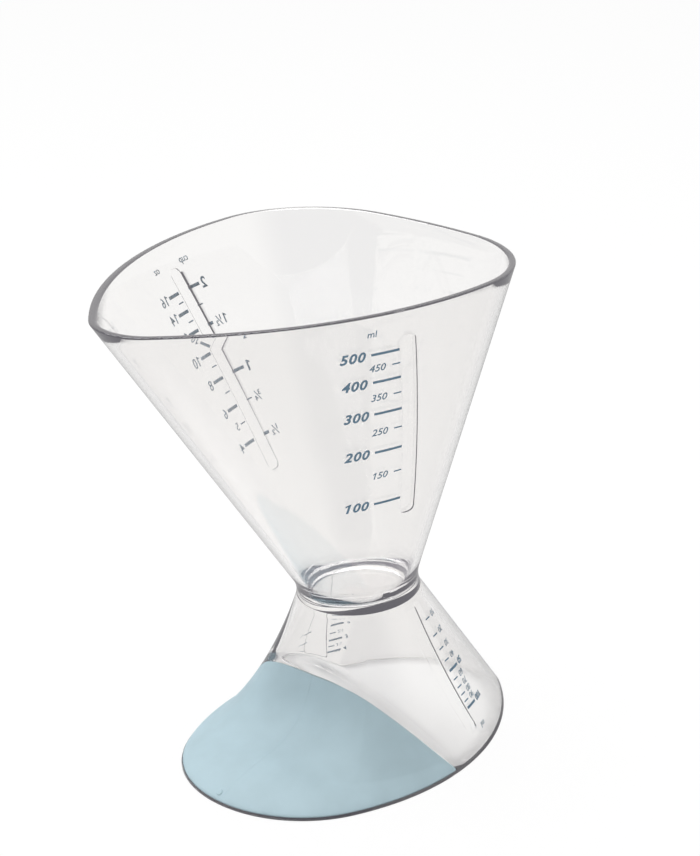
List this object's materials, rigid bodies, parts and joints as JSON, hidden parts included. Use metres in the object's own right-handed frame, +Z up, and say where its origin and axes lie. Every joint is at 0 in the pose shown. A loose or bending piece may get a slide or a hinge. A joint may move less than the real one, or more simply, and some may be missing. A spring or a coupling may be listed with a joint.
{
  "type": "measuring cup",
  "caption": "Clear double-ended measuring cup: a large pouring cup on a waist above a small cup that stands mouth down, with a soft grip on the toe and printed scales.",
  "frame": {"origin": "On the plane that the foot stands on, in the middle of the cup's length and on its mirror plane.", "axes": "+X along the mirror plane towards the pouring corner and the toe, +Y to the side that carries the millilitre scale, +Z up from the foot to the rim."},
  "size_m": [0.1788, 0.1126, 0.176],
  "materials": {
    "clear_plastic": "clear polished moulding, faintly grey",
    "soft_rubber": "matte pale blue-grey, overmoulded",
    "scale_ink": "steel blue printing ink"
  },
  "bodies": {
    "root": {"clear_body": "clear_plastic", "soft_grip": "soft_rubber", "millilitre_marks": "scale_ink", "cup_marks": "scale_ink", "ounce_marks": "scale_ink", "small_millilitre_marks": "scale_ink", "small_ounce_marks": "scale_ink", "small_cup_marks": "scale_ink"}
  },
  "joints": []
}
